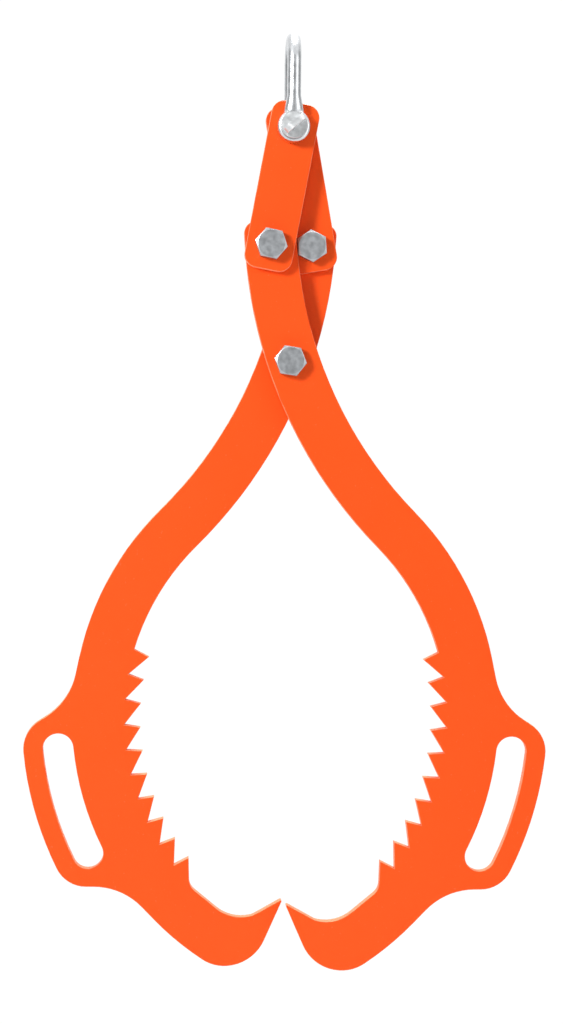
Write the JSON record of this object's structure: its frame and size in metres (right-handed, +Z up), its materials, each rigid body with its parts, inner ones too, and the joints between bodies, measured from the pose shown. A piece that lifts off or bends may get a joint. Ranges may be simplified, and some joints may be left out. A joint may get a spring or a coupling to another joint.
{
  "type": "log grapple",
  "caption": "Scissor-action log lifting tongs: two saw-toothed plate jaw arms with hand slots, two link straps, hex bolts and a long bow shackle for a hook.",
  "frame": {"origin": "inside of the shackle's crown, where the lifting hook bears", "axes": "+Z up along the pull, +X across the jaws to the right arm's side, +Y from the front plates to the back ones"},
  "size_m": [0.4534, 0.0819, 0.8069],
  "materials": {
    "orange_paint": "satin",
    "zinc_bolt": "satin",
    "zinc_shackle": "gloss",
    "nylon": "matte"
  },
  "bodies": {
    "shackle_set": {"shackle_bow": "zinc_shackle", "shackle_pin": "zinc_shackle"},
    "pin_bush_set": {"pin_spacer": "zinc_shackle"},
    "left_link_set": {"front_link": "orange_paint", "left_link_bolt": "zinc_bolt", "left_link_nut": "zinc_bolt", "left_link_lock_ring": "nylon"},
    "right_link_set": {"back_link": "orange_paint", "right_link_bolt": "zinc_bolt", "right_link_nut": "zinc_bolt", "right_link_lock_ring": "nylon"},
    "right_jaw_set": {"front_arm": "orange_paint", "pivot_bolt": "zinc_bolt", "pivot_nut": "zinc_bolt", "pivot_lock_ring": "nylon", "pivot_spacer": "zinc_bolt"},
    "left_jaw_set": {"back_arm": "orange_paint"}
  },
  "joints": [
    {"name": "swing", "type": "hinge", "parent": "shackle_set", "child": "pin_bush_set", "pos_m": [0, 0, -0.0698], "axis": [0, 1, 0], "range_deg": [-90, 90]},
    {"name": "left_link_turn", "type": "hinge", "parent": "pin_bush_set", "child": "left_link_set", "pos_m": [0, 0, -0.0698], "axis": [0, 1, 0], "range_deg": [0, 50]},
    {"name": "opening", "type": "hinge", "parent": "left_link_set", "child": "right_link_set", "pos_m": [0, 0, -0.0698], "axis": [0, -1, 0], "range_deg": [0, 100]},
    {"name": "right_jaw_turn", "type": "hinge", "parent": "left_link_set", "child": "right_jaw_set", "pos_m": [-0.01788, 0, -0.16819], "axis": [0, -1, 0], "range_deg": [0, 100]},
    {"name": "left_jaw_turn", "type": "hinge", "parent": "right_link_set", "child": "left_jaw_set", "pos_m": [0.01788, 0, -0.16819], "axis": [0, 1, 0], "range_deg": [0, 100]}
  ],
  "couplings": [
    {"joint": "left_link_turn", "follows": "opening", "ratio": 0.5},
    {"joint": "right_jaw_turn", "follows": "opening", "ratio": 1},
    {"joint": "left_jaw_turn", "follows": "opening", "ratio": 1}
  ]
}
